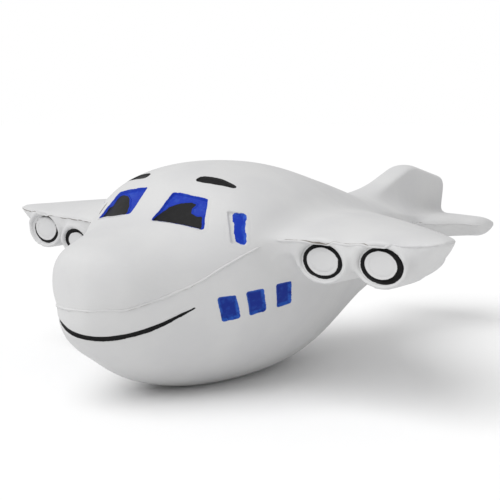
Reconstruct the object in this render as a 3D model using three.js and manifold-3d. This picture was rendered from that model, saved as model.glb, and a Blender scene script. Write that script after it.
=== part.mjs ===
// Foam toy airplane with a cartoon face: one soft moulding, with films of paint for its windows, eyes, smile
// and engine rings.
// Millimetres, +Z up, nose towards -Y, left wing towards +X.
// The origin is on the surface that it stands on, under the middle of its overall box.
import * as THREE from "three";
import { mergeVertices } from "three/addons/utils/BufferGeometryUtils.js";
import Module from "manifold-3d";

const wasm = await Module();
wasm.setup();

// ---- Driving dimensions ----

// Fuselage, nose to tail: y, top, widest height of the upper half, rim (the mould's parting line), bottom,
// half width at the rim.
const FUSELAGE_STATIONS = [
  [-66.0, 24.6, 21.2, 19.2, 16.2, 0.5],
  [-65.2, 28.0, 22.4, 19.2, 13.4, 3.6],
  [-63.0, 29.9, 23.2, 19.3, 11.1, 6.5],
  [-59.0, 31.4, 23.7, 19.8, 8.3, 10.0],
  [-50.0, 34.6, 24.6, 23.6, 3.0, 16.3],
  [-37.0, 43.2, 28.0, 31.0, -0.3, 23.9],
  [-21.0, 44.7, 29.4, 32.4, -0.7, 25.6],
  [-5.0, 41.3, 30.4, 33.4, 1.3, 21.1],
  [16.0, 35.6, 28.9, 31.9, 10.0, 14.8],
  [36.0, 31.6, 26.4, 29.4, 15.6, 9.2],
  [54.0, 28.6, 23.8, 26.8, 21.0, 5.0],
  [64.0, 27.0, 22.4, 25.4, 23.4, 3.2],
];
const UPPER_FULLNESS = 2.1; // superellipse exponent of the upper half
const LOWER_FULLNESS = 1.96; // and of the lower half
const FUSELAGE_RINGS = 32;
const FUSELAGE_SIDES = 36;

// Wing, root to tip: x, leading edge y, trailing edge y, rim z, rise above the rim, depth below it.
const WING_STATIONS = [
  [14.0, -38.0, 16.0, 30.6, 5.3, 9.0],
  [28.0, -36.5, 4.0, 31.2, 4.3, 7.7],
  [42.0, -34.6, -8.0, 31.4, 2.9, 6.8],
  [51.0, -33.6, -18.0, 31.9, 1.5, 5.2],
  [55.2, -32.8, -24.5, 32.3, 0.7, 2.0],
  [56.9, -31.4, -28.2, 32.5, 0.25, 0.3],
];
const WING_RINGS = 12;
const TAILPLANE_STATIONS = [
  [0.0, 30.0, 66.0, 27.9, 1.5, 4.6],
  [8.0, 37.0, 66.0, 27.6, 1.6, 4.2],
  [13.2, 50.2, 65.6, 26.9, 1.6, 3.5],
  [15.8, 54.6, 65.0, 26.5, 1.5, 3.0],
  [17.0, 57.6, 63.4, 26.2, 0.8, 1.4],
];
const TAILPLANE_RINGS = 7;
const SECTION_STEPS = 9; // points along each side of a wing's section
const SECTION_SKEW = 0.8; // moves the thickest place ahead of the middle
const UPPER_SWELL = 0.9; // how full the section is above the rim, fuller as it gets smaller
const LOWER_SWELL = 0.6;
const OUTLINE_STEPS = 4; // points in each rounded corner of the fin

// Fin, seen from the side: y and z of its corners.
const FIN_CORNERS = [
  [16.0, 29.5],
  [25.6, 34.4],
  [45.6, 42.0],
  [63.4, 37.7],
  [61.4, 26.0],
  [36.0, 26.0],
];
const FIN_CORNER_RADIUS = 3;
const FIN_HALF_THICKNESS = 3.2;
const FIN_FACE_SHRINK = 0.14; // share by which the outline draws in at the faces, so that its edges are round
const FIN_RINGS = 8;

// Engine nacelles: the centre of each intake disc, the size of its ring, and the round body behind it.
// The right inner one is smaller and hangs lower than the others.
const OUTER_NACELLE = { centre: [45.8, -33.7, 28.0], size: 1 };
const NACELLES = {
  left: { outer: OUTER_NACELLE, inner: { centre: [33.9, -34.9, 27.8], size: 1 } },
  right: { outer: OUTER_NACELLE, inner: { centre: [33.9, -34.9, 26.4], size: 0.75 } },
};
const NACELLE_WALL = 1; // how far a nacelle reaches past the middle of its ring
const NACELLE_OVAL = 1.36; // width over height, of the nacelle and of the ring painted on it
const NACELLE_LENGTH = 20;
const NACELLE_DROOP = 4; // degrees that the intake disc looks down
const NACELLE_LEVEL_OFF = 2.5; // the droop is gone once this many times the share of the length is 1
const NACELLE_ROUNDING = 2.6; // exponent of the round end
const NACELLE_END_SHARE = 0.02;
const NACELLE_RINGS = 9;
const NACELLE_FIRST_STEP = 0.3; // the first ring behind the disc, as a share of an even step
const INTAKE_CHAMFER = 0.5;
const NACELLE_SIDES = 24;
const RING_RADIUS = 2.95; // half the height of the ring's middle
const RING_HALF_WIDTH = 0.35;
const RING_CUT_AHEAD = 3; // how far ahead of the disc a ring's groove is cut free

// Paint lies in recesses of the moulding, with a gap all round each film.
const RECESS_DEPTH = 1.1;
const FILM_GAP = 0.3;
const FILM_THICKNESS = 0.5;
const WINDSCREEN_RECESS_DEPTH = 1.5;
const PUPIL_THICKNESS = 0.45;

// A panel is drawn in its own plane: across points backwards round the left side, up points up the slope.
// Centre on the skin, then the way the plane faces in degrees: heading away from the nose, and above level.
// The moulding is a little uneven, so the two windscreens and their pupils differ.
const WINDSCREEN = { centre: [8.6, -45.2, 36.4], heading: 23, above: 47 };
const WINDSCREEN_CORNERS = {
  left: [[-3.1, 4.7], [4.7, 2.5], [5.7, -4.8], [-5.2, -3.3]],
  right: [[-4.0, 5.5], [4.3, 2.4], [3.0, -4.3], [-7.2, -1.6]],
};
const PUPIL_CORNERS = {
  left: [
    [-4.4, -2.6], [-2.8, 0.8], [-0.8, 1.7], [1.4, 1.8], [2.7, 1.4], [2.2, -1.0], [3.9, -1.6], [4.4, -4.0],
    [0.4, -3.2],
  ],
  right: [
    [-6.0, -1.6], [-5.2, 0.7], [-3.3, 1.9], [-1.4, 2.4], [0.6, 2.2], [1.8, -0.9], [2.4, -3.6], [-2.0, -2.4],
  ],
};
const EYEBROW = {
  centre: [10.4, -37.4, 41.5],
  heading: 24,
  above: 62,
  corners: [
    [-4.2, 0.1], [-3.7, 1.0], [-2.6, 1.3], [-1.2, 1.1], [1.2, 0.5], [3.4, -0.6], [4.9, -1.6], [2.8, -1.8],
    [0.2, -1.6], [-2.4, -1.1], [-3.8, -0.6],
  ],
};
const SIDE_WINDOW = {
  centre: [19.6, -41.2, 33.2],
  heading: 47,
  above: 27,
  corners: [[-2.3, 3.9], [1.3, 3.1], [1.1, -3.4], [-1.9, -3.0]],
};
const CABIN_WINDOW_CENTRES = [
  [19.3, -43.9, 18.7],
  [21.7, -38.8, 19.5],
  [23.5, -32.7, 20.4],
];
const CABIN_WINDOW_HEADINGS = [62, 71, 82];
const CABIN_WINDOW_CORNERS = [[-2.5, 2.2], [1.3, 2.5], [2.8, -2.3], [-0.9, -2.8]];
const CABIN_WINDOW_ABOVE = -13;
const CORNER_RADIUS = 0.5;

// The smile, seen from the front: its middle line as x and z, and its greatest width. It is lopsided.
const SMILE_POINTS = [
  [-12.5, 19.2],
  [-7.5, 17.7],
  [-2.8, 16.1],
  [1.1, 14.6],
  [4.9, 13.8],
  [8.8, 14.4],
  [12.6, 16.3],
  [16.4, 19.4],
];
const SMILE_WIDTH = 1.2;
const SMILE_END_SHARE = 0.12; // width at the pointed ends, as a share of the greatest
const SMILE_STEPS = 28;
const SMILE_DEPTH = 1.6; // depths are measured straight back, as the band is cut from the front
const SMILE_THICKNESS = 0.8;
const SMILE_GAP = 0.5;
const SMILE_REACH_BACK = -40; // the cutter's far end
const NOSE_CLEARANCE = -75; // and its near end, clear of the nose

const GROUND_SIZE = 200;

const FOAM_WHITE = 0xe9e9ea;
const PAINT_BLUE = 0x2340b8;
const PAINT_DARK_BLUE = 0x1c2f9a;
const PAINT_BLACK = 0x1c1c1d;

// ---- Solids ----

// A three.js geometry as a manifold-3d solid, with its faces turned outwards.
function solid(geometry) {
  const bare = geometry.clone();
  bare.deleteAttribute("normal");
  bare.deleteAttribute("uv");
  const merged = mergeVertices(bare, 1e-4);
  const indices = Array.from(merged.index.array);
  const faces = [];
  for (let i = 0; i < indices.length; i += 3) {
    const [a, b, c] = indices.slice(i, i + 3);
    if (a !== b && b !== c && c !== a) faces.push(a, b, c);
  }
  const build = (triangles) => {
    const vertProperties = merged.attributes.position.array;
    const mesh = new wasm.Mesh({ numProp: 3, vertProperties, triVerts: new Uint32Array(triangles) });
    return new wasm.Manifold(mesh);
  };
  const made = build(faces);
  return made.volume() > 0 ? made : build(faces.reverse());
}

// A closed solid through rings of points, all listed the same way round.
function loft(rings) {
  const sides = rings[0].length;
  const points = rings.flat();
  const faces = [];
  for (let ring = 0; ring + 1 < rings.length; ring++) {
    for (let side = 0; side < sides; side++) {
      const a = ring * sides + side;
      const b = ring * sides + ((side + 1) % sides);
      faces.push(a, b, b + sides, a, b + sides, a + sides);
    }
  }
  for (const end of [0, rings.length - 1]) {
    const middle = new THREE.Vector3();
    rings[end].forEach((point) => middle.addScaledVector(point, 1 / sides));
    for (let side = 0; side < sides; side++) {
      const a = end * sides + side;
      const b = end * sides + ((side + 1) % sides);
      faces.push(points.length, ...(end === 0 ? [b, a] : [a, b]));
    }
    points.push(middle);
  }
  const geometry = new THREE.BufferGeometry().setFromPoints(points);
  geometry.setIndex(faces);
  return solid(geometry);
}

// Reads a station table at 0 (first row) to 1 (last row), along a smooth curve through each column.
function stationReader(stations) {
  const rows = stations.map((_, index) => index);
  const curve = new THREE.CubicInterpolant(rows, stations.flat(), stations[0].length);
  return (t) => Array.from(curve.evaluate(t * (stations.length - 1)));
}

// A superellipse's cosine and sine.
function roundCos(angle, exponent) {
  return Math.sign(Math.cos(angle)) * Math.abs(Math.cos(angle)) ** (2 / exponent);
}
function roundSin(angle, exponent) {
  return Math.sign(Math.sin(angle)) * Math.abs(Math.sin(angle)) ** (2 / exponent);
}

// ---- Fuselage ----

const readFuselage = stationReader(FUSELAGE_STATIONS);

function fuselageRing(t) {
  const [y, top, widest, rim, bottom, halfWidth] = readFuselage(t);
  const rise = top - widest;
  const share = (rim - widest) / rise;
  const start = Math.sign(share) * Math.asin(Math.abs(share) ** (UPPER_FULLNESS / 2));
  const reach = halfWidth / roundCos(start, UPPER_FULLNESS);
  const half = FUSELAGE_SIDES / 2;
  const ring = [];
  for (let side = 0; side < half; side++) {
    const angle = start + ((Math.PI - 2 * start) * side) / half;
    const z = widest + rise * roundSin(angle, UPPER_FULLNESS);
    ring.push(new THREE.Vector3(reach * roundCos(angle, UPPER_FULLNESS), y, z));
  }
  for (let side = 0; side < half; side++) {
    const angle = (Math.PI * side) / half;
    const z = rim - (rim - bottom) * roundSin(angle, LOWER_FULLNESS);
    ring.push(new THREE.Vector3(-halfWidth * roundCos(angle, LOWER_FULLNESS), y, z));
  }
  return ring;
}

function fuselageSolid() {
  const rings = [];
  for (let i = 0; i <= FUSELAGE_RINGS; i++) rings.push(fuselageRing(i / FUSELAGE_RINGS));
  return loft(rings);
}

// ---- Wings, tailplane and fin ----

// One half of a wing: lens sections that share a sharp rim at the leading edge.
function wingSolid(stations, ringCount, side) {
  const read = stationReader(stations);
  const rings = [];
  for (let i = 0; i <= ringCount; i++) {
    const [x, front, back, rim, rise, depth] = read(Math.sin((Math.PI / 2) * (i / ringCount)));
    const chord = back - front;
    const place = (share, height) => new THREE.Vector3(side * x, front + chord * share, rim + height);
    const swell = (share, fullness) => Math.sin(Math.PI * share ** SECTION_SKEW) ** fullness;
    const ring = [];
    for (let k = 0; k <= SECTION_STEPS; k++) {
      const share = k / SECTION_STEPS;
      ring.push(place(share, rise * swell(share, UPPER_SWELL)));
    }
    for (let k = SECTION_STEPS - 1; k > 0; k--) {
      const share = k / SECTION_STEPS;
      ring.push(place(share, -depth * swell(share, LOWER_SWELL)));
    }
    rings.push(ring);
  }
  return loft(rings);
}

// A closed outline with its corners rounded off.
function roundedShape(corners, radius) {
  const points = corners.map(([u, v]) => new THREE.Vector2(u, v));
  const shape = new THREE.Shape();
  points.forEach((corner, index) => {
    const before = points.at(index - 1);
    const after = points[(index + 1) % points.length];
    const cut = Math.min(radius, corner.distanceTo(before) / 2, corner.distanceTo(after) / 2);
    const start = corner.clone().add(before.clone().sub(corner).setLength(cut));
    const end = corner.clone().add(after.clone().sub(corner).setLength(cut));
    if (index === 0) shape.moveTo(start.x, start.y);
    else shape.lineTo(start.x, start.y);
    shape.quadraticCurveTo(corner.x, corner.y, end.x, end.y);
  });
  return shape;
}

function finSolid() {
  const outline = roundedShape(FIN_CORNERS, FIN_CORNER_RADIUS).getPoints(OUTLINE_STEPS);
  const middle = new THREE.Vector2();
  outline.forEach((point) => middle.addScaledVector(point, 1 / outline.length));
  const rings = [];
  for (let i = 0; i <= FIN_RINGS; i++) {
    const angle = (Math.PI * i) / FIN_RINGS;
    const scale = 1 - FIN_FACE_SHRINK * (1 - Math.sin(angle));
    const x = -FIN_HALF_THICKNESS * Math.cos(angle);
    rings.push(
      outline.map((point) => {
        const { x: y, y: z } = point.clone().sub(middle).multiplyScalar(scale).add(middle);
        return new THREE.Vector3(x, y, z);
      }),
    );
  }
  return loft(rings);
}

// ---- Nacelles ----

// A matrix at a point on the skin, with its third axis out of the skin; on the right side it is mirrored.
function skinFrame(centre, headingDegrees, aboveDegrees, side) {
  const heading = THREE.MathUtils.degToRad(headingDegrees);
  const above = THREE.MathUtils.degToRad(aboveDegrees);
  const level = new THREE.Vector3(Math.sin(heading), -Math.cos(heading), 0).multiplyScalar(Math.cos(above));
  const outward = level.setZ(Math.sin(above));
  const across = new THREE.Vector3(Math.cos(heading), Math.sin(heading), 0);
  const up = outward.clone().cross(across);
  const frame = new THREE.Matrix4().makeBasis(across, up, outward).setPosition(...centre);
  return side > 0 ? frame : frame.premultiply(new THREE.Matrix4().makeScale(-1, 1, 1));
}

// A frame in an intake disc's plane, widened across so that circles drawn in it come out oval.
function nacelleFrame(centre, side, droop = NACELLE_DROOP) {
  const wide = new THREE.Matrix4().makeScale(NACELLE_OVAL, 1, 1);
  return skinFrame(centre, 0, -droop, side).multiply(wide);
}

// The body starts at the drooping disc, turns level as it goes back and closes in a round end.
function nacelleSolid({ centre, size }, side) {
  const fullRadius = RING_RADIUS * size + NACELLE_WALL;
  const rings = [];
  for (let i = 0; i <= NACELLE_RINGS; i++) {
    const step = Math.max(i - 1 + NACELLE_FIRST_STEP, 0) / (NACELLE_RINGS - 1 + NACELLE_FIRST_STEP);
    const share = Math.sin((Math.PI / 2) * step);
    const swell = Math.max(1 - share ** NACELLE_ROUNDING, NACELLE_END_SHARE) ** 0.5;
    const radius = i === 0 ? fullRadius - INTAKE_CHAMFER : fullRadius * swell;
    const droop = NACELLE_DROOP * Math.max(1 - NACELLE_LEVEL_OFF * share, 0);
    const place = [centre[0], centre[1] + NACELLE_LENGTH * share, centre[2]];
    const frame = nacelleFrame(place, side, droop);
    const ring = [];
    for (let k = 0; k < NACELLE_SIDES; k++) {
      const angle = (2 * Math.PI * k) / NACELLE_SIDES;
      ring.push(new THREE.Vector3(radius * Math.cos(angle), radius * Math.sin(angle), 0).applyMatrix4(frame));
    }
    rings.push(ring);
  }
  return loft(rings);
}

// A flat washer between two radii, from one depth below the intake disc to another.
function washer(centre, side, inner, outer, shallow, deep) {
  const profile = [
    new THREE.Vector2(inner, -deep),
    new THREE.Vector2(outer, -deep),
    new THREE.Vector2(outer, -shallow),
    new THREE.Vector2(inner, -shallow),
    new THREE.Vector2(inner, -deep),
  ];
  const geometry = new THREE.LatheGeometry(profile, NACELLE_SIDES);
  geometry.rotateX(Math.PI / 2);
  geometry.applyMatrix4(nacelleFrame(centre, side));
  return solid(geometry);
}

// ---- Painted panels ----

const CORNER_STEPS = 3; // points in each rounded corner of a panel
const PRISM_REACH = 9; // how far a panel's cutter goes out of the skin and into it

function prism(shape, frame) {
  const settings = { depth: 2 * PRISM_REACH, bevelEnabled: false, curveSegments: CORNER_STEPS };
  const geometry = new THREE.ExtrudeGeometry(shape, settings);
  geometry.translate(0, 0, -PRISM_REACH);
  geometry.applyMatrix4(frame);
  return solid(geometry);
}

// The corners of an outline listed clockwise, each moved inwards so that every edge draws in by the distance.
function drawnIn(corners, distance) {
  const points = corners.map(([u, v]) => new THREE.Vector2(u, v));
  const inwardNormal = (from, to) => {
    const edge = to.clone().sub(from).normalize();
    return new THREE.Vector2(edge.y, -edge.x);
  };
  return points.map((corner, index) => {
    const first = inwardNormal(points.at(index - 1), corner);
    const second = inwardNormal(corner, points[(index + 1) % points.length]);
    const reach = distance / (1 + first.dot(second));
    return corner.clone().addScaledVector(first.add(second), reach).toArray();
  });
}

const skin = fuselageSolid();

// The fuselage moved a depth along a direction, as the floor of a recess or the face of a film.
function sunk(inward, depth) {
  return skin.translate(inward.clone().multiplyScalar(depth).toArray());
}

const recesses = [];
const films = [];

function addFilm(name, film, color) {
  films.push({ name, film, look: { color, roughness: 0.55, metalness: 0 } });
}

// A recess in the skin and the film of paint on its floor, for one side of the airplane.
function paintPanel(name, panel, side, color, depth = RECESS_DEPTH) {
  const frame = skinFrame(panel.centre, panel.heading, panel.above, side);
  const inward = new THREE.Vector3().setFromMatrixColumn(frame, 2).negate();
  const hole = prism(roundedShape(panel.corners, CORNER_RADIUS), frame);
  const core = prism(roundedShape(drawnIn(panel.corners, FILM_GAP), CORNER_RADIUS), frame);
  const filmBottom = depth - FILM_GAP;
  recesses.push(hole.subtract(sunk(inward, depth)));
  const film = core.intersect(sunk(inward, filmBottom - FILM_THICKNESS)).subtract(sunk(inward, filmBottom));
  addFilm(name, film, color);
}

// The pupil lies over the windscreen's film, just below the skin.
function paintPupil(name, corners, side) {
  const frame = skinFrame(WINDSCREEN.centre, WINDSCREEN.heading, WINDSCREEN.above, side);
  const inward = new THREE.Vector3().setFromMatrixColumn(frame, 2).negate();
  const core = prism(roundedShape(corners, CORNER_RADIUS), frame);
  addFilm(name, core.intersect(skin).subtract(sunk(inward, PUPIL_THICKNESS)), PAINT_BLACK);
}

// The smile: a band round the front of the lower jaw, pointed at both ends.
function smileBand(width) {
  const middle = new THREE.SplineCurve(SMILE_POINTS.map(([x, z]) => new THREE.Vector2(x, z)));
  const upper = [];
  const lower = [];
  for (let i = 0; i <= SMILE_STEPS; i++) {
    const share = i / SMILE_STEPS;
    const half = (width / 2) * Math.max(Math.sin(Math.PI * share), SMILE_END_SHARE) ** 0.5;
    const along = middle.getTangent(share);
    const point = middle.getPoint(share);
    upper.push(new THREE.Vector2(point.x - along.y * half, point.y + along.x * half));
    lower.unshift(new THREE.Vector2(point.x + along.y * half, point.y - along.x * half));
  }
  const geometry = new THREE.ExtrudeGeometry(new THREE.Shape([...upper, ...lower]), {
    depth: SMILE_REACH_BACK - NOSE_CLEARANCE,
    bevelEnabled: false,
  });
  geometry.rotateX(Math.PI / 2);
  geometry.translate(0, SMILE_REACH_BACK, 0);
  return solid(geometry);
}

function paintSmile() {
  const backwards = new THREE.Vector3(0, 1, 0);
  const hole = smileBand(SMILE_WIDTH + 2 * FILM_GAP);
  const core = smileBand(SMILE_WIDTH);
  const filmBottom = SMILE_DEPTH - SMILE_GAP;
  recesses.push(hole.subtract(sunk(backwards, SMILE_DEPTH)));
  const face = sunk(backwards, filmBottom - SMILE_THICKNESS);
  const film = core.intersect(face).subtract(sunk(backwards, filmBottom));
  addFilm("smile_line", film, PAINT_BLACK);
}

function paintEngineRing(name, { centre, size }, side) {
  const floor = RECESS_DEPTH - FILM_GAP;
  const inner = RING_RADIUS * size - RING_HALF_WIDTH;
  const outer = RING_RADIUS * size + RING_HALF_WIDTH;
  recesses.push(washer(centre, side, inner - FILM_GAP, outer + FILM_GAP, -RING_CUT_AHEAD, RECESS_DEPTH));
  addFilm(name, washer(centre, side, inner, outer, floor - FILM_THICKNESS, floor), PAINT_BLACK);
}

// ---- Assembly ----

let moulding = skin.add(finSolid());
for (const [hand, side] of Object.entries({ left: 1, right: -1 })) {
  moulding = moulding.add(wingSolid(WING_STATIONS, WING_RINGS, side));
  moulding = moulding.add(wingSolid(TAILPLANE_STATIONS, TAILPLANE_RINGS, side));
  const windscreen = { ...WINDSCREEN, corners: WINDSCREEN_CORNERS[hand] };
  paintPanel(`windscreen_${hand}`, windscreen, side, PAINT_BLUE, WINDSCREEN_RECESS_DEPTH);
  paintPupil(`pupil_${hand}`, PUPIL_CORNERS[hand], side);
  paintPanel(`eyebrow_${hand}`, EYEBROW, side, PAINT_BLACK);
  paintPanel(`cockpit_side_window_${hand}`, SIDE_WINDOW, side, PAINT_BLUE);
  CABIN_WINDOW_CENTRES.forEach((centre, index) => {
    const heading = CABIN_WINDOW_HEADINGS[index];
    const panel = { centre, heading, above: CABIN_WINDOW_ABOVE, corners: CABIN_WINDOW_CORNERS };
    paintPanel(`cabin_window_${hand}_${index + 1}`, panel, side, PAINT_DARK_BLUE);
  });
  for (const [place, nacelle] of Object.entries(NACELLES[hand])) {
    moulding = moulding.add(nacelleSolid(nacelle, side));
    paintEngineRing(`engine_ring_${hand}_${place}`, nacelle, side);
  }
}
paintSmile();
for (const recess of recesses) moulding = moulding.subtract(recess);

// The belly is flat where it stands.
const ground = new THREE.BoxGeometry(GROUND_SIZE, GROUND_SIZE, GROUND_SIZE);
ground.translate(0, 0, -GROUND_SIZE / 2);
moulding = moulding.subtract(solid(ground));

function meshOf(name, made, look) {
  const { vertProperties, triVerts } = made.getMesh();
  const geometry = new THREE.BufferGeometry();
  geometry.setAttribute("position", new THREE.Float32BufferAttribute(vertProperties, 3));
  geometry.setIndex(Array.from(triVerts));
  geometry.computeVertexNormals();
  const mesh = new THREE.Mesh(geometry, new THREE.MeshStandardMaterial(look));
  mesh.name = name;
  return mesh;
}

const airplane = new THREE.Group();
airplane.add(meshOf("foam_body", moulding, { color: FOAM_WHITE, roughness: 0.85, metalness: 0 }));
for (const { name, film, look } of films) airplane.add(meshOf(name, film, look));

export default airplane;
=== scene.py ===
"""Foam toy airplane: the finished moulding, its paint and the studio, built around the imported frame.

Shapes are worked out in millimetres, in the frame's own axes, and written to Blender in metres.
The moulding is a distance field on a lattice: lofted forms, joined with soft fillets and cut by recesses.
"""

import itertools
import math

import bpy
import numpy as np
import openvdb
from mathutils import Matrix, Vector


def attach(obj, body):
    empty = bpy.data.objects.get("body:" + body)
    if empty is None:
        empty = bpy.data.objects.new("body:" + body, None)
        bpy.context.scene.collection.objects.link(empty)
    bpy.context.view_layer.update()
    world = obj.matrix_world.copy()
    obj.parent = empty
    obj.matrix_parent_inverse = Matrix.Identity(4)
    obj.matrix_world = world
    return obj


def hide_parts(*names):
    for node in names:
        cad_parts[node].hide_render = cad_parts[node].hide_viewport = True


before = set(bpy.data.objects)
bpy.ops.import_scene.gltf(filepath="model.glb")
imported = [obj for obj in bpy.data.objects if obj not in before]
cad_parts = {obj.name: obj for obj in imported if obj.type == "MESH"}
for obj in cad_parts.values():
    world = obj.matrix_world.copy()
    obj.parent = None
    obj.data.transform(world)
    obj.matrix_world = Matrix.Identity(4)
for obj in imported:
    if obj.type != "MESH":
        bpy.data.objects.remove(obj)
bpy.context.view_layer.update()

MM = 0.001

# ---- Forms of the moulding: the CAD model's own, but for a slightly thinner wall round the engines ----

# Fuselage, nose to tail: y, top, the height where its upper half is widest, rim (the mould's parting line),
# bottom, half width at the rim.
FUSELAGE_STATIONS = [
    [-66.0, 24.6, 21.2, 19.2, 16.2, 0.5],
    [-65.2, 28.0, 22.4, 19.2, 13.4, 3.6],
    [-63.0, 29.9, 23.2, 19.3, 11.1, 6.5],
    [-59.0, 31.4, 23.7, 19.8, 8.3, 10.0],
    [-50.0, 34.6, 24.6, 23.6, 3.0, 16.3],
    [-37.0, 43.2, 28.0, 31.0, -0.3, 23.9],
    [-21.0, 44.7, 29.4, 32.4, -0.7, 25.6],
    [-5.0, 41.3, 30.4, 33.4, 1.3, 21.1],
    [16.0, 35.6, 28.9, 31.9, 10.0, 14.8],
    [36.0, 31.6, 26.4, 29.4, 15.6, 9.2],
    [54.0, 28.6, 23.8, 26.8, 21.0, 5.0],
    [64.0, 27.0, 22.4, 25.4, 23.4, 3.2],
]
UPPER_FULLNESS = 2.1  # superellipse exponents of the two halves
LOWER_FULLNESS = 1.96

# Wings, root to tip: x, leading edge y, trailing edge y, rim z, rise above the rim, depth below it.
WING_STATIONS = [
    [14.0, -38.0, 16.0, 30.6, 5.3, 9.0],
    [28.0, -36.5, 4.0, 31.2, 4.3, 7.7],
    [42.0, -34.6, -8.0, 31.4, 2.9, 6.8],
    [51.0, -33.6, -18.0, 31.9, 1.5, 5.2],
    [55.2, -32.8, -24.5, 32.3, 0.7, 2.0],
    [56.9, -31.4, -28.2, 32.5, 0.25, 0.3],
]
TAILPLANE_STATIONS = [
    [0.0, 30.0, 66.0, 27.9, 1.5, 4.6],
    [8.0, 37.0, 66.0, 27.6, 1.6, 4.2],
    [13.2, 50.2, 65.6, 26.9, 1.6, 3.5],
    [15.8, 54.6, 65.0, 26.5, 1.5, 3.0],
    [17.0, 57.6, 63.4, 26.2, 0.8, 1.4],
]
WING_SWELL_SKEW = 0.8  # moves the thickest place ahead of the middle
UPPER_SWELL = 0.9  # how full the section is above the rim, fuller as it gets smaller
LOWER_SWELL = 0.6

# Fin, seen from the side: y and z of its corners.
FIN_CORNERS = [[16.0, 29.5], [25.6, 34.4], [45.6, 42.0], [63.4, 37.7], [61.4, 26.0], [36.0, 26.0]]
FIN_CORNER_RADIUS = 3.0
FIN_HALF_THICKNESS = 3.2
FIN_FACE_SHRINK = 0.14  # share by which the outline draws in at the faces, so that its edges are round

# The centre of each engine's intake disc and the size of its ring; the right inner one is smaller and lower.
NACELLES = {
    ("left", "outer"): ((45.8, -33.7, 28.0), 1.0),
    ("left", "inner"): ((33.9, -34.9, 27.8), 1.0),
    ("right", "outer"): ((-45.8, -33.7, 28.0), 1.0),
    ("right", "inner"): ((-33.9, -34.9, 26.4), 0.75),
}
NACELLE_WALL = 0.85  # how far a nacelle reaches past the middle of its ring
NACELLE_OVAL = 1.36  # width over height, of the nacelle and of the ring painted on it
NACELLE_LENGTH = 20.0
NACELLE_DROOP = 4.0  # degrees that the intake disc looks down
NACELLE_LEVEL_OFF = 2.5  # the droop is gone once this many times the share of the length is 1
NACELLE_ROUNDING = 2.6  # exponent of the round end
NACELLE_END_SHARE = 0.97  # where the round end is closed off
RING_RADIUS = 2.92
RING_HALF_WIDTH = 0.24

# Painted panels: centre on the skin, degrees away from straight ahead, degrees above level, and the corners
# in the panel's plane.
WINDSCREEN = ((8.6, -45.2, 36.4), 23, 47)
WINDSCREEN_CORNERS = {
    "left": [[-3.1, 4.7], [4.7, 2.5], [5.7, -4.8], [-5.2, -3.3]],
    "right": [[-4.0, 5.8], [4.2, 2.7], [1.9, -4.6], [-5.0, -2.9], [-7.9, -1.3]],
}
PUPIL_CORNERS = {
    "left": [
        [-5.0, -3.1], [-4.3, -1.2], [-2.8, 0.8], [-0.8, 1.7], [1.4, 1.9], [2.7, 1.4],
        [2.0, 0.2], [2.2, -1.0], [3.4, -1.6], [4.5, -1.5], [4.9, -4.5], [0.4, -3.7],
    ],
    "right": [
        [-4.5, -3.1], [-6.2, -2.3], [-5.7, -1.0], [-4.2, 0.4], [-2.0, 1.8], [-0.1, 2.4],
        [2.0, 2.5], [3.3, 2.1], [3.2, 1.1], [1.9, -0.7], [2.7, -1.1], [1.5, -4.6],
    ],
}
EYEBROW = ((10.4, -37.4, 41.5), 24, 62)
EYEBROW_CORNERS = [
    [-4.2, 0.1], [-3.7, 1.0], [-2.6, 1.3], [-1.2, 1.1], [1.3, 0.5], [3.8, -0.8], [5.5, -2.0], [3.0, -1.9],
    [0.2, -1.6], [-2.4, -1.1], [-3.8, -0.6],
]
SIDE_WINDOW = ((19.6, -41.2, 33.2), 47, 27)
SIDE_WINDOW_CORNERS = [[-2.3, 3.9], [1.3, 3.1], [1.1, -3.4], [-1.9, -3.0]]
# The paint misses the front of its recess.
SIDE_WINDOW_PAINT = [[-1.2, 3.5], [1.3, 3.0], [1.1, -3.2], [-0.9, -2.6]]
CABIN_WINDOWS = [((19.3, -43.9, 18.7), 62), ((21.7, -38.8, 19.5), 71), ((23.5, -32.7, 20.4), 82)]
CABIN_CORNERS = [[-2.5, 2.2], [1.3, 2.5], [2.8, -2.3], [-0.9, -2.8]]
CABIN_ABOVE = -13
CORNER_RADIUS = 0.5

# Middle of the smile seen from the front: x and z.
SMILE_POINTS = [
    [-12.5, 19.2], [-7.5, 17.7], [-2.8, 16.1], [1.1, 14.6],
    [4.9, 13.8], [8.8, 14.4], [12.6, 16.3], [16.4, 19.4],
]
SMILE_WIDTH = 1.0

# ---- The lattice that holds distances to the skin ----

VOXEL = 0.52
BAND = 14  # voxels of true distance kept on each side of a surface, wider than any fillet
HALF_SPAN, NOSE, TAIL, UNDER, OVER = 60.0, -69.0, 69.0, -3.0, 48.0
FIRST = np.round(np.array([-HALF_SPAN, NOSE, UNDER]) / VOXEL).astype(int)
LAST = np.round(np.array([HALF_SPAN, TAIL, OVER]) / VOXEL).astype(int)
SHAPE = tuple(LAST - FIRST + 1)


def unit(vector):
    vector = np.asarray(vector, float)
    return vector / np.linalg.norm(vector, axis=-1, keepdims=True)


def read_stations(stations, count, ease=None):
    """Rows read off a Catmull-Rom curve through a station table, first row to last."""
    rows = np.array(stations)
    padded = np.vstack([rows[1], rows, rows[-2]])
    share = np.linspace(0, 1, count)
    if ease:
        share = ease(share)
    position = share * (len(rows) - 1)
    index = np.minimum(position.astype(int), len(rows) - 2)
    p = (position - index)[:, None]
    before, here, after, beyond = (padded[index + k] for k in range(4))
    return (
        before * (-0.5 * p**3 + p**2 - 0.5 * p)
        + here * (1.5 * p**3 - 2.5 * p**2 + 1)
        + after * (-1.5 * p**3 + 2 * p**2 + 0.5 * p)
        + beyond * (0.5 * p**3 - 0.5 * p**2)
    )


def round_cos(angle, fullness):
    return np.sign(np.cos(angle)) * np.abs(np.cos(angle)) ** (2 / fullness)


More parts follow.
